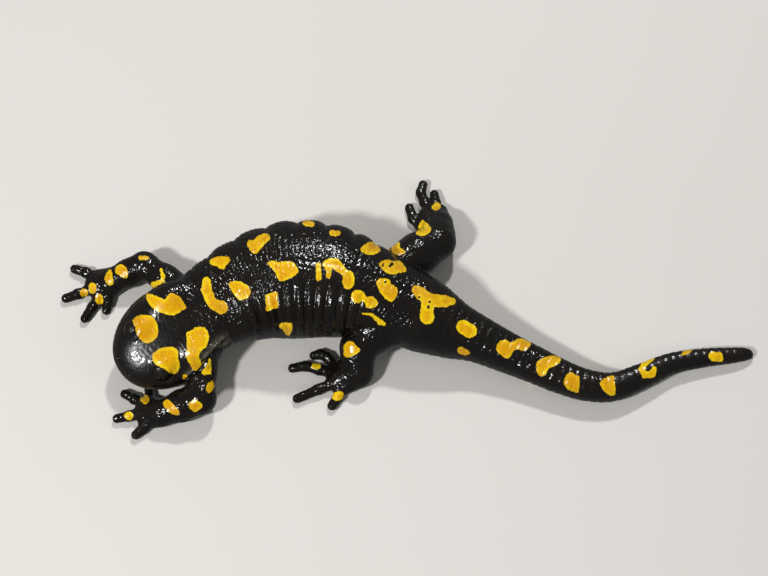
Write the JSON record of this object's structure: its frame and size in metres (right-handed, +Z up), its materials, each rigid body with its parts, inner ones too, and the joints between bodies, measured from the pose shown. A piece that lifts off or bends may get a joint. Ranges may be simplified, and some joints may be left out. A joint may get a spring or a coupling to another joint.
{
  "type": "fire salamander",
  "caption": "Life-size still fire salamander lying on its belly, head turned and tail bent, glossy black with yellow spots.",
  "frame": {"origin": "middle of the outline in plan, on the floor under the belly", "axes": "+X from the head towards the tail tip, +Y towards the animal's right side, +Z up"},
  "size_m": [0.2276, 0.0938, 0.0283],
  "materials": {
    "skin": "moist amphibian skin, glossy black with crisp yellow spots",
    "eye": "wet near-black eyeball with a clear polished front"
  },
  "bodies": {
    "root": {"head": "skin", "lower_jaw": "skin", "eye_left": "eye", "eye_right": "eye", "neck": "skin", "trunk_front": "skin", "trunk_middle": "skin", "trunk_rear": "skin", "tail_base": "skin", "tail_middle": "skin", "tail_end": "skin", "upper_arm_front_left": "skin", "forearm_front_left": "skin", "hand_front_left": "skin", "upper_arm_front_right": "skin", "forearm_front_right": "skin", "hand_front_right": "skin", "thigh_hind_left": "skin", "shank_hind_left": "skin", "foot_hind_left": "skin", "thigh_hind_right": "skin", "shank_hind_right": "skin", "foot_hind_right": "skin"}
  },
  "joints": []
}
